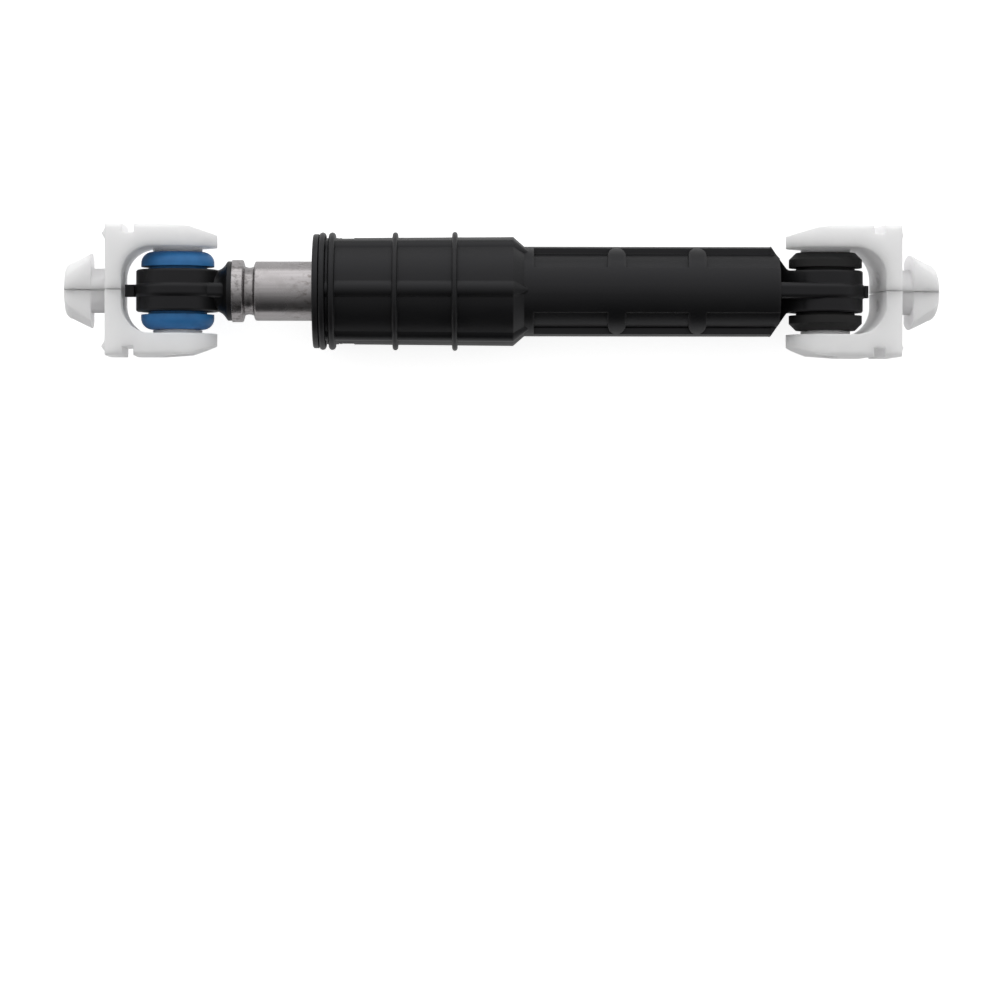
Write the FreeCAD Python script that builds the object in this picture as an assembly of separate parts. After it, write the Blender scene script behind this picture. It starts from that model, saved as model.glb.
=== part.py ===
import FreeCAD, Part
import math
import os

# Washing machine shock absorber: a steel plunger tube that slides through a greased lining in a plastic
# barrel, with a swinging clip at each end. It lies on the barrel's rings. Millimetres, +Z up, +X along the
# damper from the tub end to the base end, Y along both clip pins. The tube's diameter sets the scale.

V = FreeCAD.Vector

# Fits
RUN_FIT = 0.05          # radial, pin in bush and lining in chamber
LINING_FIT = 0.04       # radial, lining on the tube
SEAT_GAP = 0.05         # between pieces that are pressed or crimped together
SIDE_GAP = 0.3          # between faces that move past each other
OVERSHOOT = 1.0         # how far a cutting or joining shape reaches past what it meets

# Travel
ROD_REACH = 47.6        # tub pin to barrel mouth at rest
TRAVEL_IN = 18.0
TRAVEL_OUT = 45.0
TUBE_OVERRUN = 15.5     # tube left past the lining when pulled right out
END_ROOM = 7.0          # room left behind the tube when pushed right in

# Plunger tube
TUBE_R = 10.0
TUBE_WALL = 1.2
TUBE_CHAMFER = 0.5
BELL_RISE = 0.5
BELL_LENGTH = 3.7
CRIMP_WIDTH = 4.1
CRIMP_DEPTH = 2.1
CRIMP_FLANK = 0.65
CRIMP_ROUND = 0.35
CRIMP_EDGE_ROUND = 0.7

# Friction lining
LINING_LENGTH = 48.0
LINING_THICK = 5.41
LINING_SLIT = 0.5

# Barrel
BODY_WALL = 2.35        # at the mouth
BODY_DRAFT = 0.5        # how much wider the shoulder is than the mouth, radially
NARROW_WALL = 4.6
GUIDE_GAP = 0.5
LINING_ROOM = 0.5
FLOOR_WALL = 2.9
END_WALL = 4.3
CONE_LENGTH = 3.7
END_FACE = 2.9          # narrow part's end, past the start of its side tapers
END_TAPER = 5.6
END_TAPER_ROUND = 2.0
WINDOW_START = 6.6      # from the mouth
WINDOW_LENGTH = 5.3
WINDOW_HALF = 3.8
WINDOW_TO_LINING = 2.0

# Rings on the barrel's wide part
MOUTH_RINGS = (1.3, 4.5)    # middles, from the mouth
MOUTH_RING_WIDTH = 2.3
MOUTH_RING_RISE = 1.9
BODY_RING_TO_SHOULDER = 19.6
BODY_RING_PITCH = 20.0
BODY_RING_COUNT = 2
BODY_RING_WIDTH = 1.8
BODY_RING_RISE = 1.8

# Long ridges on the barrel's wide part
RIDGE_COUNT = 6
RIDGE_RISE = 1.0
RIDGE_ROOT = 1.6        # how far a ridge's foot is sunk in the wall
RIDGE_HALF = 3.45       # at its foot
RIDGE_RUNOUT = 1.4      # past the shoulder cone
RIDGE_TIP_HALF = 0.5

# Mould pockets on the narrow part, mirrored to all four quarters
POCKET_TO_CONE = 3.2
POCKET_DEPTH = 1.9
POCKET_INNER_Y = 7.5
POCKET_SHELF_Z = 4.6
BAR_COUNT = 2
BAR_FIRST = 27.75       # from the pocket's start
BAR_PITCH = 27.0
BAR_HALF = 3.0
BAR_END_INSET = 0.6

# Mouth cap
LIP_RISE = 1.35
LIP_THICK = 1.9
LIP_ROUND = 0.6
BOSS_LENGTH = 4.0
BOSS_WALL = 2.2
SKIRT_WALL = 2.0
SKIRT_LENGTH = 5.6
BARB_INSET = 0.25       # below the barrel's surface
BARB_FLAT = 0.8
BARB_TOE = 0.7

# Clip pins and bushes
PIN_R = 6.0
PIN_CORE_R = 4.0
PIN_FLOOR = 3.0
PIN_END_Y = 0.1
PIN_CHAMFER = 0.8
COLLAR_WALL = 2.3
COLLAR_HEIGHT = 1.2
SLEEVE_WALL = 2.9
SLEEVE_END_Y = 0.4
STEP_LIP = 0.9          # the ring that keeps a bush's flange off its eye
STEP_HEIGHT = 1.0
FLANGE_THICK = 5.0
FLANGE_LIP = 3.3
TUB_BUSH_ROUND = 3.8
BASE_BUSH_CHAMFER = 2.3

# Eyes
EYE_HALF = 7.05
EYE_ROUND = 0.7
NECK_INSET = 0.15       # both necks and the base web, from the eyes' surfaces
BAND_RISE = 0.7
BAND_ROUND = 1.6
LUG_HALF_Y = 2.05
LUG_HALF_Z = 1.8
ROD_EYE_WALL = 5.0
ROD_BAND_HALF = 2.5
ROD_LUG = 3.7
ROD_NECK_LENGTH = 4.45  # eye to tube
ROD_COLLAR = 1.5
ROD_COLLAR_ROUND = 0.5
ROD_FLARE_LENGTH = 2.2
ROD_FLARE_ROUND = 4.0
SPIGOT_LENGTH = 26.5
SPIGOT_CHAMFER = 1.5
BASE_EYE_WALL = 3.6
BASE_BAND_HALF = 2.7
BASE_LUG = 1.8
BASE_NECK_ROOM = 6.4    # bush to barrel
BASE_WEB_HALF_Z = 5.0   # where it leaves the barrel

# Clips
ARM_THICK = 7.5
ARM_TIP_THICK = 4.0
ARM_MARGIN = 1.0        # past the bush all round
SEAT_ROOM = 0.3         # lug's corner to seat
SEAT_THICK = 5.4
BOW_R = 10.0
CORNER_R = 1.5
SLOT_TO_SEAT = 5.8
SLOT_WIDTH = 3.8
SLOT_DEPTH = 3.0
ARM_FLAT_END = 5.5      # from the pin, seat side
ARM_BEND_AT = 4.4       # from the pin, tip side
ARM_BEND_DROP = 0.7
WING_RISE = 1.5
WING_HALF_Z = 9.0
WING_EDGES = (5.8, 3.1, 0.8)    # foot, crest and foot, in from the clip's side
NECK_R = 7.5
NECK_LENGTH = 5.2
HEAD_LENGTH = 9.0
HEAD_RISE = 5.15
HEAD_RIM = 0.85
HEAD_RIM_DROP = 0.35
HEAD_NOSE_R = 6.4
HEAD_NOSE_LENGTH = 2.6
HEAD_NOSE_RISE = 3.2
HEAD_NOSE_BULGE = 0.68  # share of the nose's length and rise at its arc's middle
HEAD_SLIT = 4.6
SLIT_HALF = 0.15
CORE_R = 2.0
CORE_WALL = 0.8
CORE_TO_NOSE = 6.4
BASE_CLIP_DROOP = 8.0   # degrees that the base clip hangs below the damper's line

# Radii worked out from the tube and the pins outwards
BELL_R = TUBE_R + BELL_RISE
LINING_IN_R = TUBE_R + LINING_FIT
LINING_OUT_R = LINING_IN_R + LINING_THICK
CHAMBER_R = LINING_OUT_R + RUN_FIT
MOUTH_R = CHAMBER_R + BODY_WALL
GUIDE_R = TUBE_R + GUIDE_GAP
NARROW_R = GUIDE_R + NARROW_WALL
POCKET_R = NARROW_R - POCKET_DEPTH
LIP_R = MOUTH_R + LIP_RISE
CAP_BORE_R = TUBE_R + SIDE_GAP
SKIRT_R = CHAMBER_R - SEAT_GAP
BUSH_BORE_R = PIN_R + RUN_FIT
COLLAR_R = PIN_R + COLLAR_WALL
SLEEVE_R = BUSH_BORE_R + SLEEVE_WALL
EYE_BORE_R = SLEEVE_R + SEAT_GAP
FLANGE_R = EYE_BORE_R + FLANGE_LIP
ROD_EYE_R = EYE_BORE_R + ROD_EYE_WALL
BASE_EYE_R = EYE_BORE_R + BASE_EYE_WALL
EYE_NECK_HALF = EYE_HALF - NECK_INSET
HEAD_R = NECK_R + HEAD_RISE

# Places along the damper, from the barrel's mouth
WINDOW_END = WINDOW_START + WINDOW_LENGTH
LINING_START = WINDOW_END + WINDOW_TO_LINING
LINING_END = LINING_START + LINING_LENGTH
CHAMBER_END = LINING_END + LINING_ROOM
SHOULDER = CHAMBER_END + FLOOR_WALL
CONE_END = SHOULDER + CONE_LENGTH
POCKET_START = CONE_END + POCKET_TO_CONE
TUBE_END = LINING_END + TUBE_OVERRUN + TRAVEL_OUT
GUIDE_END = TUBE_END + TRAVEL_IN + END_ROOM
NARROW_END = GUIDE_END + END_WALL
BARREL_FACE = NARROW_END + END_FACE
BASE_PIN = NARROW_END + BASE_NECK_ROOM + FLANGE_R
TUB_PIN = -ROD_REACH
TUBE_START = TUB_PIN + ROD_EYE_R + ROD_NECK_LENGTH
MIDDLE = (TUB_PIN + BASE_PIN) / 2

# Places on a clip: Y from the damper's axis, lengths from the pin towards the head
RIM_Y = EYE_HALF + STEP_HEIGHT
BUSH_FACE_Y = RIM_Y + FLANGE_THICK
COLLAR_Y = BUSH_FACE_Y + SIDE_GAP
ARM_IN_Y = COLLAR_Y + COLLAR_HEIGHT
TIP_OUT_Y = ARM_IN_Y + ARM_TIP_THICK
SIDE_Y = ARM_IN_Y + ARM_THICK
CLIP_HALF_Z = FLANGE_R + ARM_MARGIN
SEAT_IN = math.hypot(ROD_EYE_R + ROD_LUG, LUG_HALF_Z) + SEAT_ROOM
SEAT_OUT = SEAT_IN + SEAT_THICK
HEAD_START = SEAT_OUT + NECK_LENGTH
HEAD_END = HEAD_START + HEAD_LENGTH


def profile(start, *steps):
    """Closed face in the XY plane: two numbers are a line's end, four are an arc's middle and end."""
    here = V(start[0], start[1], 0)
    edges = []
    for step in steps + (start,):
        end = V(step[-2], step[-1], 0)
        if len(step) == 4:
            edges.append(Part.Arc(here, V(step[0], step[1], 0), end).toShape())
        else:
            edges.append(Part.makeLine(here, end))
        here = end
    return Part.Face(Part.Wire(edges))


def turned_x(start, *steps):
    """Solid turned about the damper's axis from a profile of X and radius."""
    return profile(start, *steps).revolve(V(0, 0, 0), V(1, 0, 0), 360)


def turned_y(start, *steps):
    """Solid turned about a pin's axis from a profile of radius and Y."""
    return profile(start, *steps).revolve(V(0, 0, 0), V(0, 1, 0), 360)


def slab(half_z, start, *steps):
    """Solid of an XY profile with the same depth on both sides of z = 0."""
    face = profile(start, *steps)
    face.translate(V(0, 0, -half_z))
    return face.extrude(V(0, 0, 2 * half_z))


def box(x0, x1, y0, y1, half_z):
    return Part.makeBox(x1 - x0, y1 - y0, 2 * half_z, V(x0, y0, -half_z))


def rod_x(radius, x0, x1, y=0.0):
    return Part.makeCylinder(radius, x1 - x0, V(x0, y, 0), V(1, 0, 0))


def rod_y(radius, half_y, x=0.0):
    return Part.makeCylinder(radius, 2 * half_y, V(x, -half_y, 0), V(0, 1, 0))


def blend(before, corner, after, radius):
    """Profile steps that round the corner between two lines with an arc of the given radius."""
    tip = V(corner[0], corner[1], 0)
    back = (V(before[0], before[1], 0) - tip).normalize()
    ahead = (V(after[0], after[1], 0) - tip).normalize()
    half_angle = back.getAngle(ahead) / 2
    start = tip + back * (radius / math.tan(half_angle))
    end = tip + ahead * (radius / math.tan(half_angle))
    summit = tip + (back + ahead).normalize() * (radius / math.sin(half_angle) - radius)
    return [(start.x, start.y), (summit.x, summit.y, end.x, end.y)]


def mirrored(shape, normal):
    return shape.mirror(V(0, 0, 0), normal)


def half_turn(shape, axis):
    other = shape.copy()
    other.rotate(V(0, 0, 0), axis, 180)
    return other


def wall_r(x):
    """Outer radius of the barrel's drafted wide part at a distance from its mouth."""
    return MOUTH_R + BODY_DRAFT * x / SHOULDER


def rings():
    """Middle, width and top radius of each ring on the barrel's wide part."""
    sizes = [(middle, MOUTH_RING_WIDTH, MOUTH_RING_RISE) for middle in MOUTH_RINGS]
    for i in reversed(range(BODY_RING_COUNT)):
        middle = SHOULDER - BODY_RING_TO_SHOULDER - BODY_RING_PITCH * i
        sizes.append((middle, BODY_RING_WIDTH, BODY_RING_RISE))
    return [(middle, width, wall_r(middle) + rise) for middle, width, rise in sizes]


def ring_steps(middle, width, top_r):
    """Profile steps of a round-topped ring on the barrel's wide part."""
    left = middle - width / 2
    right = middle + width / 2
    flank = top_r - width / 2
    return [(left, wall_r(left)), (left, flank), (middle, top_r, right, flank), (right, wall_r(right))]


def ridge_section(x, base_r, rise, half):
    """Arched outline across a ridge, with its foot sunk in the wall."""
    foot_r = base_r - RIDGE_ROOT
    feet = V(x, -half, foot_r), V(x, half, foot_r)
    arch = Part.Arc(feet[0], V(x, 0, base_r + rise), feet[1]).toShape()
    return Part.Wire([arch, Part.makeLine(*feet)])


def ridge():
    """One long ridge that runs out as a point past the shoulder cone."""
    sections = [ridge_section(x, wall_r(x), RIDGE_RISE, RIDGE_HALF) for x in (0, SHOULDER)]
    sections.append(ridge_section(CONE_END + RIDGE_RUNOUT, NARROW_R, 0, RIDGE_TIP_HALF))
    return Part.makeLoft(sections, True, True)


def pocket_cutter():
    """Room cut from one quarter of the narrow part, with its round-ended bars left standing."""
    room = Part.makeBox(
        BARREL_FACE + OVERSHOOT - POCKET_START,
        NARROW_R,
        NARROW_R,
        V(POCKET_START, POCKET_INNER_Y, POCKET_SHELF_Z),
    )
    bar_end = NARROW_R - BAR_END_INSET
    kept = [rod_x(POCKET_R, POCKET_START - OVERSHOOT, BARREL_FACE + 2 * OVERSHOOT)]
    for i in range(BAR_COUNT):
        x = POCKET_START + BAR_FIRST + BAR_PITCH * i
        kept.append(
            slab(
                NARROW_R + OVERSHOOT,
                (x - BAR_HALF, POCKET_INNER_Y - OVERSHOOT),
                (x - BAR_HALF, bar_end - BAR_HALF),
                (x, bar_end, x + BAR_HALF, bar_end - BAR_HALF),
                (x + BAR_HALF, POCKET_INNER_Y - OVERSHOOT),
            )
        )
    return room.cut(kept)


def round_edged_disc(radius, half, edge_round):
    """Disc about a pin's axis with both its edges rounded."""
    corners = (0, -half), (radius, -half), (radius, half), (0, half)
    return turned_y(
        corners[0],
        *blend(*corners[:3], edge_round),
        *blend(*corners[1:], edge_round),
        corners[3],
    )


def eye(pin, radius, band_half, lug, outward):
    """Eye with a raised middle band and a small lug on the side away from the damper."""
    ring = round_edged_disc(radius, EYE_HALF, EYE_ROUND)
    ring = ring.fuse(round_edged_disc(radius + BAND_RISE, band_half, BAND_ROUND))
    ring.translate(V(pin, 0, 0))
    root = pin + outward * (EYE_BORE_R + radius) / 2
    tip = pin + outward * (radius + lug)
    stub = box(min(root, tip), max(root, tip), -LUG_HALF_Y, LUG_HALF_Y, LUG_HALF_Z)
    return ring.fuse(stub)


def eye_bore(pin):
    return rod_y(EYE_BORE_R, EYE_HALF + OVERSHOOT, pin)


def neck_rib(half, end_a, end_b):
    """Round-edged rib on both sides of a neck, between two places given as X and height."""
    (x_a, z_a), (x_b, z_b) = end_a, end_b
    rib = slab(half, (x_a, -z_a), (x_a, z_a), (x_b, z_b), (x_b, -z_b))
    long_edges = [edge for edge in rib.Edges if edge.Vertexes[0].X != edge.Vertexes[-1].X]
    rib = rib.makeFillet(BAND_ROUND, long_edges)
    rib.rotate(V(0, 0, 0), V(1, 0, 0), 90)
    return rib


def neck_plan():
    """Block as wide as the barrel's end in plan, tapering from the narrow part to the neck."""
    neck = NARROW_END + END_TAPER
    corners = (NARROW_END, NARROW_R), (neck, EYE_NECK_HALF), (BASE_PIN, EYE_NECK_HALF)
    half = slab(
        NARROW_R,
        (NARROW_END, 0),
        corners[0],
        *blend(*corners, END_TAPER_ROUND),
        corners[2],
        (BASE_PIN, 0),
    )
    return half.fuse(mirrored(half, V(0, 1, 0)))


def neck_web():
    """Web from the barrel's end to its eye, sloping up until it meets the eye's ring."""
    reach = BARREL_FACE - BASE_PIN
    meet_r = BASE_EYE_R - NECK_INSET
    lean = math.acos(meet_r / math.hypot(reach, BASE_WEB_HALF_Z))
    angle = math.atan2(BASE_WEB_HALF_Z, reach) - lean
    meet = BASE_PIN + meet_r * math.cos(angle), meet_r * math.sin(angle)
    upper = [(NARROW_END, BASE_WEB_HALF_Z), (BARREL_FACE, BASE_WEB_HALF_Z), meet]
    web = slab(NARROW_R, *upper, *[(x, -z) for x, z in reversed(upper)])
    web.rotate(V(0, 0, 0), V(1, 0, 0), 90)
    return web.common(neck_plan())


def barrel():
    steps = [(0, MOUTH_R)]
    for ring in rings():
        steps += ring_steps(*ring)
    steps += [
        (SHOULDER, wall_r(SHOULDER)),
        (CONE_END, NARROW_R),
        (NARROW_END, NARROW_R),
        (NARROW_END, 0),
    ]
    shell = turned_x((0, 0), *steps)
    shell = shell.fuse(rod_x(NARROW_R, NARROW_END, BARREL_FACE).common(neck_plan()))
    ridges = []
    for i in range(RIDGE_COUNT):
        one = ridge()
        one.rotate(V(0, 0, 0), V(1, 0, 0), 360 / RIDGE_COUNT * i)
        ridges.append(one)
    shell = shell.fuse(ridges)
    quarter = pocket_cutter()
    pair = [quarter, mirrored(quarter, V(0, 1, 0))]
    shell = shell.cut(pair + [mirrored(one, V(0, 0, 1)) for one in pair])
    rib_top = math.sqrt(NARROW_R**2 - BASE_BAND_HALF**2)
    shell = shell.fuse(
        [
            eye(BASE_PIN, BASE_EYE_R, BASE_BAND_HALF, BASE_LUG, 1),
            neck_web(),
            neck_rib(BASE_BAND_HALF, (NARROW_END, rib_top), (BASE_PIN, BASE_EYE_R + BAND_RISE)),
        ]
    )
    shell = shell.cut(
        [
            rod_x(CHAMBER_R, -OVERSHOOT, CHAMBER_END),
            rod_x(GUIDE_R, CHAMBER_END - OVERSHOOT, GUIDE_END),
            box(WINDOW_START, WINDOW_END, -LIP_R, LIP_R, WINDOW_HALF),
            eye_bore(BASE_PIN),
        ]
    )
    return shell.removeSplitter()


def mouth_cap():
    """Lip, tube guide and skirt, with two hooks that snap into the barrel's windows."""
    skirt_in = SKIRT_R - SKIRT_WALL
    boss_r = CAP_BORE_R + BOSS_WALL
    cap = turned_x(
        (-LIP_THICK, CAP_BORE_R),
        *blend((-LIP_THICK, CAP_BORE_R), (-LIP_THICK, LIP_R), (0, LIP_R), LIP_ROUND),
        (0, LIP_R),
        (0, SKIRT_R),
        (SKIRT_LENGTH, SKIRT_R),
        (SKIRT_LENGTH, skirt_in),
        (0, skirt_in),
        (0, boss_r),
        (BOSS_LENGTH, boss_r),
        (BOSS_LENGTH, CAP_BORE_R),
    )
    toe = WINDOW_END - SIDE_GAP
    catch = WINDOW_START + SIDE_GAP
    half = WINDOW_HALF - SIDE_GAP
    root = SKIRT_LENGTH - OVERSHOOT
    sleeve = rod_x(SKIRT_R, root, toe).cut(rod_x(skirt_in, root, toe))
    tongue = sleeve.common(box(root, toe, 0, SKIRT_R, half))
    barb_r = wall_r(WINDOW_START) - BARB_INSET
    barb = slab(
        half,
        (catch, SKIRT_R - BARB_TOE),
        (catch, barb_r),
        (catch + BARB_FLAT, barb_r),
        (toe, SKIRT_R - BARB_TOE),
    )
    hook = tongue.fuse(barb)
    return cap.fuse([hook, mirrored(hook, V(0, 1, 0))]).removeSplitter()


def friction_lining():
    """Foam sleeve rolled from a strip, so its ends meet in a slit along the top."""
    sleeve = turned_x(
        (LINING_START, LINING_IN_R),
        (LINING_START, LINING_OUT_R),
        (LINING_END, LINING_OUT_R),
        (LINING_END, LINING_IN_R),
    )
    return sleeve.cut(
        Part.makeBox(LINING_LENGTH, LINING_SLIT, LINING_OUT_R, V(LINING_START, -LINING_SLIT / 2, 0))
    )


def crimped_end(inset):
    """Corners of the tube's belled and crimped end, moved in from its outside by an inset."""
    steepness = math.atan2(BELL_RISE + CRIMP_DEPTH - CRIMP_ROUND, CRIMP_FLANK)
    spread = inset * math.tan(steepness / 2)
    left = TUBE_START + BELL_LENGTH - spread
    right = TUBE_START + BELL_LENGTH + CRIMP_WIDTH + spread
    groove = TUBE_R - CRIMP_DEPTH - inset
    return {
        "rim": (TUBE_START, BELL_R - inset),
        "bell": (left, BELL_R - inset),
        "in": (left + CRIMP_FLANK, groove + CRIMP_ROUND),
        "bottom": ((left + right) / 2, groove),
        "out": (right - CRIMP_FLANK, groove + CRIMP_ROUND),
        "plain": (right, TUBE_R - inset),
    }


def plunger_tube():
    outer = crimped_end(0)
    inner = crimped_end(TUBE_WALL)
    far = (TUBE_END - TUBE_CHAMFER, TUBE_R)
    return turned_x(
        outer["rim"],
        *blend(outer["rim"], outer["bell"], outer["in"], CRIMP_EDGE_ROUND),
        outer["in"],
        outer["bottom"] + outer["out"],
        *blend(outer["out"], outer["plain"], far, CRIMP_EDGE_ROUND),
        far,
        (TUBE_END, TUBE_R - TUBE_CHAMFER),
        (TUBE_END, TUBE_R - TUBE_WALL),
        inner["plain"],
        inner["out"],
        inner["bottom"] + inner["in"],
        inner["bell"],
        inner["rim"],
    )


def rod_eye():
    """Moulded eye whose spigot fills the tube's end and is held there by the crimp."""
    inner = crimped_end(TUBE_WALL + SEAT_GAP)
    face = TUBE_START - SEAT_GAP
    spigot_end = TUBE_START + SPIGOT_LENGTH
    spigot_r = TUBE_R - TUBE_WALL - SEAT_GAP
    collar = face - ROD_COLLAR
    neck = (TUB_PIN, EYE_NECK_HALF), (collar - ROD_FLARE_LENGTH, EYE_NECK_HALF)
    rim = (collar, TUBE_R), (face, TUBE_R)
    stem = turned_x(
        (TUB_PIN, 0),
        neck[0],
        *blend(*neck, rim[0], ROD_FLARE_ROUND),
        *blend(neck[1], *rim, ROD_COLLAR_ROUND),
        rim[1],
        (face, inner["rim"][1]),
        inner["bell"],
        inner["in"],
        inner["bottom"] + inner["out"],
        inner["plain"],
        (spigot_end - SPIGOT_CHAMFER, spigot_r),
        (spigot_end, spigot_r - SPIGOT_CHAMFER),
        (spigot_end, 0),
    )
    whole = stem.fuse(
        [
            eye(TUB_PIN, ROD_EYE_R, ROD_BAND_HALF, ROD_LUG, -1),
            neck_rib(ROD_BAND_HALF, (TUB_PIN, ROD_EYE_R + BAND_RISE), (face, EYE_NECK_HALF)),
        ]
    )
    return whole.cut(eye_bore(TUB_PIN)).removeSplitter()


def bush(edge):
    """Flanged bush for the +Y side of an eye, with the given steps round its outer edge."""
    step_r = EYE_BORE_R + STEP_LIP
    return turned_y(
        (BUSH_BORE_R, SLEEVE_END_Y),
        (SLEEVE_R, SLEEVE_END_Y),
        (SLEEVE_R, EYE_HALF),
        (step_r, EYE_HALF),
        (step_r, RIM_Y),
        (FLANGE_R, RIM_Y),
        *edge,
        (BUSH_BORE_R, BUSH_FACE_Y),
    )


def tub_bush():
    corners = (FLANGE_R, RIM_Y), (FLANGE_R, BUSH_FACE_Y), (BUSH_BORE_R, BUSH_FACE_Y)
    return bush(blend(*corners, TUB_BUSH_ROUND))


def base_bush():
    c = BASE_BUSH_CHAMFER
    return bush([(FLANGE_R, BUSH_FACE_Y - c), (FLANGE_R - c, BUSH_FACE_Y)])


def clip_strap():
    """Arm and seat, bowed where they meet; the arm is slotted near the seat and tapers to its tip."""
    corners = (SEAT_IN, 0), (SEAT_IN, ARM_IN_Y), (-CLIP_HALF_Z, ARM_IN_Y)
    slot_x = SEAT_OUT - SLOT_TO_SEAT
    slot_y = SIDE_Y - SLOT_DEPTH
    return slab(
        CLIP_HALF_Z,
        corners[0],
        *blend(*corners, BOW_R),
        corners[2],
        (-CLIP_HALF_Z, TIP_OUT_Y),
        (-ARM_BEND_AT, SIDE_Y - ARM_BEND_DROP),
        (ARM_FLAT_END, SIDE_Y),
        (slot_x - SLOT_WIDTH, SIDE_Y),
        (slot_x - SLOT_WIDTH, slot_y),
        (slot_x, slot_y),
        (slot_x, SIDE_Y),
        (SEAT_OUT, SIDE_Y),
        (SEAT_OUT, 0),
    )


def clip_limits():
    """Shapes that round the clip's tip about the pin and its corners as seen from the head."""
    z = CLIP_HALF_Z
    tip = Part.Arc(V(0, 0, z), V(-z, 0, 0), V(0, 0, -z)).toShape()
    sides = Part.makePolygon([V(0, 0, -z), V(SEAT_OUT, 0, -z), V(SEAT_OUT, 0, z), V(0, 0, z)])
    plan = Part.Face(Part.Wire([tip] + sides.Edges)).extrude(V(0, SIDE_Y, 0))
    bar = box(-z, SEAT_OUT, 0, SIDE_Y, z)
    outer = [edge for edge in bar.Edges if edge.CenterOfMass.y + abs(edge.CenterOfMass.z) > SIDE_Y + z / 2]
    return plan, bar.makeFillet(CORNER_R, outer)


def clip_wing():
    """Low spring ridge on the seat that presses on the sheet behind it."""
    root = SEAT_OUT - OVERSHOOT
    foot, crest, side = (SIDE_Y - inset for inset in WING_EDGES)
    return slab(
        WING_HALF_Z,
        (root, foot),
        (SEAT_OUT, foot),
        (SEAT_OUT + WING_RISE, crest),
        (SEAT_OUT, side),
        (root, side),
    )


def clip_head():
    """Half of a neck and quarter-turn head: a turned nose with two flats as wide as the neck."""
    root = SEAT_OUT - OVERSHOOT
    nose = HEAD_END - HEAD_NOSE_LENGTH
    bulge_x = nose + HEAD_NOSE_LENGTH * HEAD_NOSE_BULGE
    bulge_r = HEAD_NOSE_R + HEAD_NOSE_RISE * HEAD_NOSE_BULGE
    turned = turned_x(
        (root, 0),
        (root, NECK_R),
        (HEAD_START, NECK_R),
        (HEAD_START, HEAD_R),
        (HEAD_START + HEAD_RIM, HEAD_R - HEAD_RIM_DROP),
        (nose, HEAD_NOSE_R + HEAD_NOSE_RISE),
        (bulge_x, bulge_r, HEAD_END, HEAD_NOSE_R),
        (HEAD_END, 0),
    )
    return turned.common(box(root, HEAD_END, 0, HEAD_R, NECK_R))


def clip_pin():
    return turned_y(
        (0, PIN_END_Y),
        (PIN_R - PIN_CHAMFER, PIN_END_Y),
        (PIN_R, PIN_END_Y + PIN_CHAMFER),
        (PIN_R, COLLAR_Y),
        (COLLAR_R, COLLAR_Y),
        (COLLAR_R, ARM_IN_Y + OVERSHOOT),
        (0, ARM_IN_Y + OVERSHOOT),
    )


def clip_half():
    """One of a clip's two like halves, on the +Y side: arm, pin, seat and half the head."""
    plan, bar = clip_limits()
    body = clip_strap().common(plan).common(bar)
    body = body.fuse([clip_wing(), clip_head(), clip_pin()])
    slit_end = HEAD_START + HEAD_SLIT
    pin_core = Part.makeCylinder(PIN_CORE_R, SIDE_Y, V(0, PIN_FLOOR, 0), V(0, 1, 0))
    head_core = rod_x(CORE_R, SEAT_IN - OVERSHOOT, HEAD_END - CORE_TO_NOSE, NECK_R - CORE_WALL - CORE_R)
    body = body.cut(
        [
            box(SEAT_IN - OVERSHOOT, SEAT_OUT, 0, SLIT_HALF, CLIP_HALF_Z),
            box(HEAD_START, slit_end, 0, SLIT_HALF, NECK_R),
            pin_core,
            head_core,
        ]
    )
    return body.removeSplitter()


def pieces():
    named = {
        "barrel": barrel(),
        "mouth_cap": mouth_cap(),
        "friction_lining": friction_lining(),
        "plunger_tube": plunger_tube(),
        "rod_eye": rod_eye(),
    }
    half = clip_half()
    turned = half.copy()
    turned.rotate(V(0, 0, 0), V(0, 1, 0), BASE_CLIP_DROOP)
    ends = (
        ("tub", TUB_PIN, tub_bush(), half_turn(half, V(0, 1, 0))),
        ("base", BASE_PIN, base_bush(), turned),
    )
    for end, pin, one_bush, one_half in ends:
        for name, one in ((f"{end}_bush", one_bush), (f"{end}_clip_half", one_half)):
            for number, piece in enumerate((one, mirrored(one, V(0, 1, 0))), 1):
                piece.translate(V(pin, 0, 0))
                named[f"{name}_{number}"] = piece
    return named


axis_z = max(top_r for middle, width, top_r in rings())
os.makedirs("parts", exist_ok=True)
for node, shape in pieces().items():
    if len(shape.Solids) != 1 or not shape.isValid():
        raise RuntimeError(f"{node} is not one sound solid")
    solid = shape.Solids[0]
    solid.translate(V(-MIDDLE, 0, axis_z))
    solid.exportStep(f"parts/{node}.step")
    middle = solid.CenterOfMass
    print(f"{node}: {solid.Volume:.0f} mm3, middle {middle.x:.2f} {middle.y:.2f} {middle.z:.2f}")
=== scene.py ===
# %% [markdown]
# # Shock absorber of a washing machine
# A friction damper stands between the tub and the base of a front-loading machine. A steel tube slides through
# a greased lining in a plastic barrel, and each end has an eye with two bushes and a white clip in two halves.
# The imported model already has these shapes, in metres, so it is loaded first and never moved.

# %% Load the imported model
import math

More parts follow.
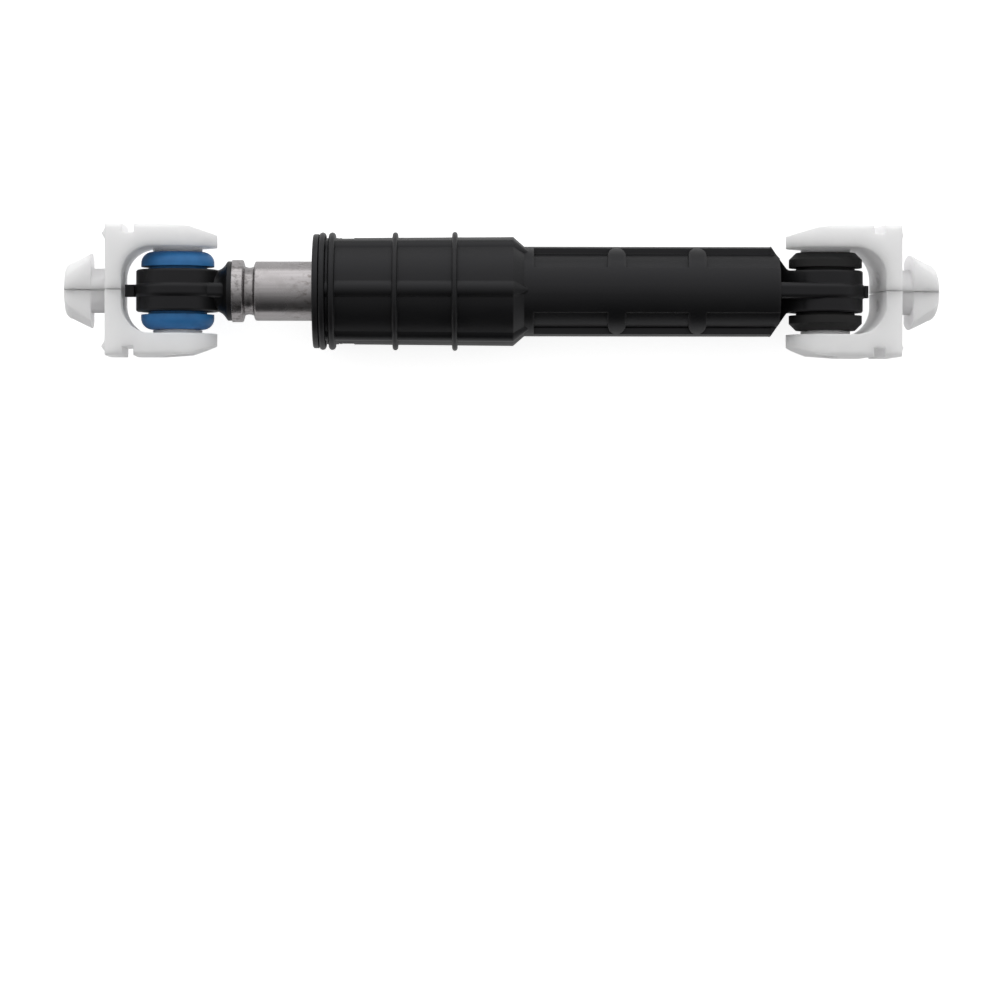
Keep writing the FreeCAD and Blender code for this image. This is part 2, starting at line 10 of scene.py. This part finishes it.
import bmesh
import bpy
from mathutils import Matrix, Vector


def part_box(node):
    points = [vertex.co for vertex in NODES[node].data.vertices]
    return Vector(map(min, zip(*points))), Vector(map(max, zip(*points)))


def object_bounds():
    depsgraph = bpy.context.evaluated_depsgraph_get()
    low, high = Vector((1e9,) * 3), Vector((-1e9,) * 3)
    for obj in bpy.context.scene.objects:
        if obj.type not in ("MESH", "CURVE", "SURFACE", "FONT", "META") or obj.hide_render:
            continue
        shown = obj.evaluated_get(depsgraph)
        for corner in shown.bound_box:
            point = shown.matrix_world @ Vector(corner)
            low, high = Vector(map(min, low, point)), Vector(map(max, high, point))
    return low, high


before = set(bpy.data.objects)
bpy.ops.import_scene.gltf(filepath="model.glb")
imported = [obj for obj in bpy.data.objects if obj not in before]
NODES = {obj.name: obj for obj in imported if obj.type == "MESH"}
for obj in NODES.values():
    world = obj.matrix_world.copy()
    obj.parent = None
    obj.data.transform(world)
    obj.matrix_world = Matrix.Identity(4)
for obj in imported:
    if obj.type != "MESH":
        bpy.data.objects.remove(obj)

CAD_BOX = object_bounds()
print("nodes:", ", ".join(sorted(NODES)))

# %% [markdown]
# ## Camera
# The damper is seen from straight above through a long lens, so its circles and straight edges stay true.
# A short lens close by would show the clips' sides. The camera's own resting direction is straight down with
# +Y up in the picture, so it only needs a place, a lens and a very small turn.

# %% Camera above the damper
AXIS_Z = sum(corner.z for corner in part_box("plunger_tube")) / 2
CAMERA_RISE = 1.49                      # above the damper's axis
PICTURE_WIDTH = 0.3367                  # what the picture spans at that axis
PICTURE_MIDDLE = (-0.0004, -0.0702)
SENSOR = 36.0
CAMERA_TURN = 0.10                      # degrees

lens = bpy.data.cameras.new("camera")
lens.sensor_width = SENSOR
lens.lens = SENSOR * CAMERA_RISE / PICTURE_WIDTH
camera = bpy.data.objects.new("camera", lens)
camera.location = (*PICTURE_MIDDLE, AXIS_Z + CAMERA_RISE)
camera.rotation_euler = (0, 0, math.radians(CAMERA_TURN))
bpy.context.scene.collection.objects.link(camera)
bpy.context.scene.camera = camera
bpy.context.scene.view_settings.view_transform = "Standard"
print(f"lens {lens.lens:.0f} mm")

# %% [markdown]
# ## Noise and mixes
# Each finish is a small graph of nodes. One helper puts a noise on Object coordinates, which stay with the piece
# when it moves, and others turn that noise into a range of values or a mix of two colours. A value that is the
# same all over needs no node: it is set straight on the shader.

# %% Helpers for shader and noise
def new_finish(name, **values):
    """Material with a principled shader whose even values are set on its own sockets."""
    material = bpy.data.materials.new(name)
    material.use_nodes = True
    shader = material.node_tree.nodes["Principled BSDF"]
    for socket, value in values.items():
        shader.inputs[socket.replace("_", " ")].default_value = value
    return material, material.node_tree, shader


def place(tree, stretch=(1, 1, 1)):
    """Object coordinates, stretched along the axes."""
    source = tree.nodes.new("ShaderNodeTexCoord")
    mapping = tree.nodes.new("ShaderNodeMapping")
    mapping.inputs["Scale"].default_value = stretch
    tree.links.new(source.outputs["Object"], mapping.inputs["Vector"])
    return mapping.outputs["Vector"]


def grain(tree, blotches, stretch=(1, 1, 1), detail=3.0, rough=0.55):
    """Noise from 0 to 1, with so many blotches to the metre."""
    noise = tree.nodes.new("ShaderNodeTexNoise")
    noise.inputs["Scale"].default_value = blotches
    noise.inputs["Detail"].default_value = detail
    noise.inputs["Roughness"].default_value = rough
    tree.links.new(place(tree, stretch), noise.inputs["Vector"])
    return noise.outputs["Fac"]


print("noise on Object coordinates is ready")

# %% Helpers for ranges and mixes
MIX_FIRST, MIX_SECOND, MIX_RESULT = 6, 7, 2         # the mix node's colour sockets


def spread(tree, factor, low, high, start=0.3, end=0.7):
    """Value that goes from low to high while the factor goes from start to end."""
    ramp = tree.nodes.new("ShaderNodeMapRange")
    tree.links.new(factor, ramp.inputs["Value"])
    for socket, value in (("From Min", start), ("From Max", end), ("To Min", low), ("To Max", high)):
        ramp.inputs[socket].default_value = value
    return ramp.outputs["Result"]


def mixed(tree, factor, first, second):
    """Colour between two, each a colour or another node's output."""
    mix = tree.nodes.new("ShaderNodeMix")
    mix.data_type = "RGBA"
    tree.links.new(factor, mix.inputs["Factor"])
    for socket, colour in ((mix.inputs[MIX_FIRST], first), (mix.inputs[MIX_SECOND], second)):
        if isinstance(colour, tuple):
            socket.default_value = (*colour, 1)
        else:
            tree.links.new(colour, socket)
    return mix.outputs[MIX_RESULT]


def product(tree, first, second):
    """Mask that is strong only where both masks are."""
    times = tree.nodes.new("ShaderNodeMath")
    times.operation = "MULTIPLY"
    tree.links.new(first, times.inputs[0])
    tree.links.new(second, times.inputs[1])
    return times.outputs["Value"]


print("ranges and mixes are ready")

# %% [markdown]
# ## Edges and corners
# Moulded and rolled pieces have no knife edges. On the black mouldings, edges and rings are painted a little lighter,
# partly as wear and partly as a painted highlight. Corners of the mouldings and the tube are painted darker as
# painted shade. Rounding every edge in the mesh would change the imported shapes, so a node only turns the surface's
# normal there. One mask finds the places with short rays: inside the piece they soon come out near an edge, and
# outside it they soon hit the piece in a corner.

# %% Helpers for edges and grain
EDGE_SAMPLES = 6
TURN_SAMPLES = 8


def soft_edge(tree, radius):
    """Normal that rounds the piece's sharp edges over the given radius in metres."""
    bevel = tree.nodes.new("ShaderNodeBevel")
    bevel.samples = EDGE_SAMPLES
    bevel.inputs["Radius"].default_value = radius
    return bevel.outputs["Normal"]


def near_turns(tree, reach, inside, start, end):
    """Mask that is 1 near edges, looking inside the piece, or near corners, looking outside it."""
    rays = tree.nodes.new("ShaderNodeAmbientOcclusion")
    rays.samples = TURN_SAMPLES
    rays.only_local = True
    rays.inside = inside
    rays.inputs["Distance"].default_value = reach
    return spread(tree, rays.outputs["AO"], low=1, high=0, start=start, end=end)


def raised(tree, shader, height, depth, strength, edge):
    """Bump of the given depth in metres on the shader's normal, over softened edges."""
    bump = tree.nodes.new("ShaderNodeBump")
    bump.inputs["Strength"].default_value = strength
    bump.inputs["Distance"].default_value = depth
    tree.links.new(height, bump.inputs["Height"])
    tree.links.new(edge, bump.inputs["Normal"])
    tree.links.new(bump.outputs["Normal"], shader.inputs["Normal"])


print("edge rays:", TURN_SAMPLES)

# %% [markdown]
# ## Black moulding
# The barrel, its mouth cap and the rod eye are moulded from glass-filled plastic: almost black, satin rather than
# glossy, with a fine grain from the mould and paler clouds where the filler shows at the surface. The rings and
# other edges are painted a little grey, partly as rubbing from handling and partly as a painted highlight, and the
# corners are painted darkest as painted shade. A low specular level keeps its upward faces as dark as the real ones.

# %% Finish of the black mouldings
MOULDING_DARK = (0.0030, 0.0030, 0.0034)
MOULDING_CLOUD = (0.0052, 0.0051, 0.0053)
MOULDING_SPECK = (0.012, 0.012, 0.012)
# grey painted on edges and rings: partly rubbing, partly a painted highlight
MOULDING_RUBBED_AND_HIGHLIGHT = (0.028, 0.027, 0.027)
# colour of the painted shade in corners
MOULDING_PAINTED_SHADE = (0.0015, 0.0015, 0.0015)
RUBBED_AND_HIGHLIGHT_REACH = 0.0014
MOULDING_SHADE_REACH = 0.0015
MOULDED_EDGE = 0.0004                   # radius, on the bushes and the lining too
MOULD_GRAIN = 0.00002                   # depth, on the bushes and the clips too


def black_moulding():
    material, tree, shader = new_finish(
        "black_moulding",
        Specular_IOR_Level=0.295,
        Specular_Tint=(0.95, 0.95, 1.0, 1),
    )
    clouds = grain(tree, 90, stretch=(0.4, 1, 1), detail=4)
    specks = grain(tree, 2600, detail=1)
    dark = mixed(tree, spread(tree, clouds, low=0, high=1), MOULDING_DARK, MOULDING_CLOUD)
    filler = spread(tree, specks, low=0, high=0.35, start=0.6, end=0.8)
    speckled = mixed(tree, filler, dark, MOULDING_SPECK)
    # edges and rings painted lighter, partly as wear and partly as a painted highlight
    edges = near_turns(tree, RUBBED_AND_HIGHLIGHT_REACH, inside=True, start=0.2, end=0.9)
    rubbed_and_highlight = product(tree, edges, spread(tree, grain(tree, 420), low=0.3, high=1))
    worn_and_highlit = mixed(tree, rubbed_and_highlight, speckled, MOULDING_RUBBED_AND_HIGHLIGHT)
    # corners painted darker: painted shade
    corners = near_turns(tree, MOULDING_SHADE_REACH, inside=False, start=0.3, end=0.95)
    colour = mixed(tree, corners, worn_and_highlit, MOULDING_PAINTED_SHADE)
    tree.links.new(colour, shader.inputs["Base Color"])
    tree.links.new(spread(tree, clouds, low=0.35, high=0.45), shader.inputs["Roughness"])
    raised(tree, shader, specks, MOULD_GRAIN, strength=0.4, edge=soft_edge(tree, MOULDED_EDGE))
    return material


moulding = black_moulding()
print(moulding.name, "has", len(moulding.node_tree.nodes), "nodes")

# %% [markdown]
# ## Steel
# The plunger tube is drawn, so fine lines run along it: noise with many lines to the metre across the tube and few
# along it. Brown grease is wiped off on it at the barrel's mouth, so a mask that grows along X towards the mouth
# cap is broken up by a noise. Rolling and crimping have scuffed the bell and the groove, so a like mask starts from
# the bell. Corners and the groove are painted dark as painted shade.

# %% Where the tube is greasy and scuffed
MOUTH_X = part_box("mouth_cap")[0].x
GREASE_REACH = 0.011                    # from the mouth towards the bell
BELL_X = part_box("plunger_tube")[0].x
CRIMPED_REACH = 0.011                   # from the bell towards the mouth
print(f"bell at {BELL_X:.4f}, mouth at {MOUTH_X:.4f}")

# %% Finish of the plunger tube
STEEL_DARK = (0.34, 0.324, 0.327)
STEEL_LIGHT = (0.41, 0.391, 0.395)
STEEL_STAIN = (0.22, 0.2, 0.19)
STEEL_GREASE = (0.11, 0.09, 0.075)
STEEL_NICK = (0.12, 0.112, 0.108)
# colour of the painted shade in corners and the groove
STEEL_PAINTED_SHADE = (0.03, 0.028, 0.026)
STEEL_SHADE_REACH = 0.0022
ROLLED_EDGE = 0.0003
DRAWN_LINE = 0.000015                   # depth


def drawn_steel():
    material, tree, shader = new_finish("drawn_steel", Metallic=1.0)
    lines = grain(tree, 900, stretch=(0.02, 1, 1), detail=2)
    clouds = grain(tree, 130, detail=4)
    plain = mixed(tree, spread(tree, lines, low=0, high=1), STEEL_DARK, STEEL_LIGHT)
    stains = spread(tree, clouds, low=0, high=0.4, start=0.55, end=0.8)
    stained = mixed(tree, stains, plain, STEEL_STAIN)
    along = tree.nodes.new("ShaderNodeSeparateXYZ")
    tree.links.new(place(tree), along.inputs["Vector"])
    to_mouth = spread(tree, along.outputs["X"], low=0, high=1, start=MOUTH_X - GREASE_REACH, end=MOUTH_X)
    smears = grain(tree, 480, stretch=(0.6, 1, 1), detail=6, rough=0.62)
    wiped = product(tree, to_mouth, spread(tree, smears, low=0, high=0.75, start=0.5, end=0.66))
    greasy = mixed(tree, wiped, stained, STEEL_GREASE)
    crimp_end = BELL_X + CRIMPED_REACH
    at_bell = spread(tree, along.outputs["X"], low=1, high=0, start=BELL_X + CRIMPED_REACH / 2, end=crimp_end)
    scuffs = grain(tree, 750, stretch=(0.7, 1, 1), detail=4)
    nicks = product(tree, at_bell, spread(tree, scuffs, low=0, high=0.6, start=0.5, end=0.64))
    nicked = mixed(tree, nicks, greasy, STEEL_NICK)
    # corners and the groove painted dark: painted shade
    corners = near_turns(tree, STEEL_SHADE_REACH, inside=False, start=0.3, end=0.95)
    colour = mixed(tree, corners, nicked, STEEL_PAINTED_SHADE)
    tree.links.new(colour, shader.inputs["Base Color"])
    tree.links.new(spread(tree, clouds, low=0.2, high=0.32), shader.inputs["Roughness"])
    raised(tree, shader, lines, DRAWN_LINE, strength=0.3, edge=soft_edge(tree, ROLLED_EDGE))
    return material


steel = drawn_steel()
print(steel.name, "has", len(steel.node_tree.nodes), "nodes")

# %% [markdown]
# ## Bushes
# The tub end's bushes are blue elastic plastic and the base end's are black rubber. Both are matt, with faint
# clouds and a fine grain, so one function makes both; the rubber is rougher.

# %% Finishes of the bushes
BLUE_DARK = (0.018, 0.13, 0.34)
BLUE_LIGHT = (0.031, 0.185, 0.445)
RUBBER_DARK = (0.006, 0.006, 0.006)
RUBBER_LIGHT = (0.011, 0.0105, 0.0105)
CLOUDED_ROUGHER = 0.12


def soft_bush(name, dark, light, rough):
    material, tree, shader = new_finish(name, Specular_IOR_Level=0.35)
    clouds = grain(tree, 160, detail=4)
    specks = grain(tree, 3200, detail=1)
    colour = mixed(tree, spread(tree, clouds, low=0, high=1), dark, light)
    tree.links.new(colour, shader.inputs["Base Color"])
    roughness = spread(tree, clouds, low=rough, high=rough + CLOUDED_ROUGHER)
    tree.links.new(roughness, shader.inputs["Roughness"])
    raised(tree, shader, specks, MOULD_GRAIN, strength=0.4, edge=soft_edge(tree, MOULDED_EDGE))
    return material


blue = soft_bush("blue_bush", BLUE_DARK, BLUE_LIGHT, rough=0.42)
rubber = soft_bush("black_rubber", RUBBER_DARK, RUBBER_LIGHT, rough=0.6)
print(blue.name, "and", rubber.name)

# %% [markdown]
# ## White clips
# The clips are natural white nylon. Light goes several millimetres into it, so shaded sides look almost as white as
# the top. Scattering under the surface does that within a piece. It carries no light from one half to the other, so
# the slits come out darker than real ones. A softened edge keeps the outlines of the heads from looking cut.

# %% Finish of the clips
NYLON_DARK = (0.92, 0.91, 0.925)
NYLON_LIGHT = (0.955, 0.945, 0.955)
NYLON_SCATTER = 0.009                   # how far light goes, in metres
NYLON_EDGE = 0.0008


def milky_nylon():
    material, tree, shader = new_finish(
        "milky_nylon",
        Subsurface_Weight=1.0,
        Subsurface_Radius=(1.0, 1.0, 1.0),
        Subsurface_Scale=NYLON_SCATTER,
        Specular_IOR_Level=0.4,
    )
    clouds = grain(tree, 110, detail=3)
    specks = grain(tree, 2200, detail=1)
    white = mixed(tree, spread(tree, clouds, low=0, high=1), NYLON_DARK, NYLON_LIGHT)
    tree.links.new(white, shader.inputs["Base Color"])
    tree.links.new(spread(tree, clouds, low=0.36, high=0.48), shader.inputs["Roughness"])
    raised(tree, shader, specks, MOULD_GRAIN, strength=0.3, edge=soft_edge(tree, NYLON_EDGE))
    return material


nylon = milky_nylon()
print(nylon.name, "scatters over", NYLON_SCATTER)

# %% [markdown]
# ## Lining
# The friction lining is a strip of open foam, rolled up and soaked with grease. It only shows when the barrel is
# cut open, but every piece gets a finish. One noise with several octaves gives the pores, and the sheen follows
# them: wet in the pores and dry on the walls between them.

# %% Finish of the lining
FOAM_DARK = (0.05, 0.045, 0.04)
FOAM_LIGHT = (0.16, 0.15, 0.13)
PORE_DEPTH = 0.0003


def greased_foam():
    material, tree, shader = new_finish("greased_foam", Specular_IOR_Level=0.5)
    pores = grain(tree, 1400, detail=4)
    colour = mixed(tree, spread(tree, pores, low=0, high=1), FOAM_DARK, FOAM_LIGHT)
    tree.links.new(colour, shader.inputs["Base Color"])
    tree.links.new(spread(tree, pores, low=0.35, high=0.75), shader.inputs["Roughness"])
    raised(tree, shader, pores, PORE_DEPTH, strength=1.0, edge=soft_edge(tree, MOULDED_EDGE))
    return material


foam = greased_foam()
print(foam.name, "has", len(foam.node_tree.nodes), "nodes")

# %% [markdown]
# ## A finish for each piece
# Pieces of one material share one finish, as they come from one supply of plastic or steel. Only the list of
# materials on each imported mesh is changed, so its shape and place stay as they were imported. The bushes and the
# clip halves come in pairs, which a loop over their numbers takes.

# %% Give each piece its finish
FINISHES = {
    "barrel": moulding,
    "mouth_cap": moulding,
    "rod_eye": moulding,
    "plunger_tube": steel,
    "friction_lining": foam,
}
for number in (1, 2):
    FINISHES[f"tub_bush_{number}"] = blue
    FINISHES[f"base_bush_{number}"] = rubber
    FINISHES[f"tub_clip_half_{number}"] = nylon
    FINISHES[f"base_clip_half_{number}"] = nylon
for name, node in NODES.items():
    node.data.materials.clear()
    node.data.materials.append(FINISHES[name])
print(len(NODES), "pieces finished")

# %% [markdown]
# ## Floor
# The damper lies on a white table that glows a little itself, so its shadows stay faint. It sheds less light than
# it shows: a table that lit the white clips as strongly from below would wash out their shapes. The light path
# node tells the two apart, because it knows which rays come straight from the camera.

# %% Floor
FLOOR_HALF = 3.0
FLOOR_GLOW = 0.80                       # where it is seen
FLOOR_LIGHT = 0.30                      # what it sheds on the damper
TABLE_DARK = (0.68, 0.68, 0.68)
TABLE_LIGHT = (0.70, 0.70, 0.70)

floor_mesh = bpy.data.meshes.new("floor")
draft = bmesh.new()
bmesh.ops.create_grid(draft, x_segments=1, y_segments=1, size=FLOOR_HALF)
draft.to_mesh(floor_mesh)
draft.free()
floor = bpy.data.objects.new("floor", floor_mesh)
floor.location = (0, 0, CAD_BOX[0].z)
bpy.context.scene.collection.objects.link(floor)
print("floor at", round(floor.location.z, 4))

# %% Finish of the floor
table, table_tree, table_shader = new_finish(
    "white_table",
    Roughness=0.9,
    Specular_IOR_Level=0.1,
    Emission_Color=(1, 1, 1, 1),
)
shades = spread(table_tree, grain(table_tree, 6), low=0, high=1)
table_tree.links.new(mixed(table_tree, shades, TABLE_DARK, TABLE_LIGHT), table_shader.inputs["Base Color"])
seen = table_tree.nodes.new("ShaderNodeLightPath").outputs["Is Camera Ray"]
glow = spread(table_tree, seen, low=FLOOR_LIGHT, high=FLOOR_GLOW, start=0, end=1)
table_tree.links.new(glow, table_shader.inputs["Emission Strength"])
floor.data.materials.append(table)
print(table.name, "shows", FLOOR_GLOW, "and sheds", FLOOR_LIGHT)

# %% [markdown]
# ## Light
# The room is brightest on the far side, like a wall of windows, and fades to a dark near side: the far slopes of
# the dark pieces catch that light. Lamps would leave bright spots on the steel, so the room alone gives the light,
# as a few brightnesses from the near side to the far side.

# %% Light from the room
ROOM_STRENGTH = 1.57
ROOM_TONES = (                          # side, from near to far, and brightness there
    (-1, 0.03),
    (-0.8, 0.05),
    (-0.5, 0.16),
    (0, 0.45),
    (0.5, 0.72),
    (1, 1.06),
)

world = bpy.data.worlds.new("room")
world.use_nodes = True
room = world.node_tree
parts = room.nodes.new("ShaderNodeSeparateXYZ")
room.links.new(room.nodes.new("ShaderNodeTexCoord").outputs["Generated"], parts.inputs["Vector"])
ramp = room.nodes.new("ShaderNodeValToRGB")
stops = ramp.color_ramp.elements
for number, (side, brightness) in enumerate(ROOM_TONES):
    place_on_ramp = (side + 1) / 2
    if number == 0:
        stop = stops[0]
    elif number == len(ROOM_TONES) - 1:
        stop = stops[-1]
    else:
        stop = stops.new(place_on_ramp)
    stop.position = place_on_ramp
    stop.color = (brightness, brightness, brightness, 1)
room.links.new(spread(room, parts.outputs["Y"], low=0, high=1, start=-1, end=1), ramp.inputs["Fac"])
room.links.new(ramp.outputs["Color"], room.nodes["Background"].inputs["Color"])
room.nodes["Background"].inputs["Strength"].default_value = ROOM_STRENGTH
bpy.context.scene.world = world
print(len(stops), "brightnesses in the room")
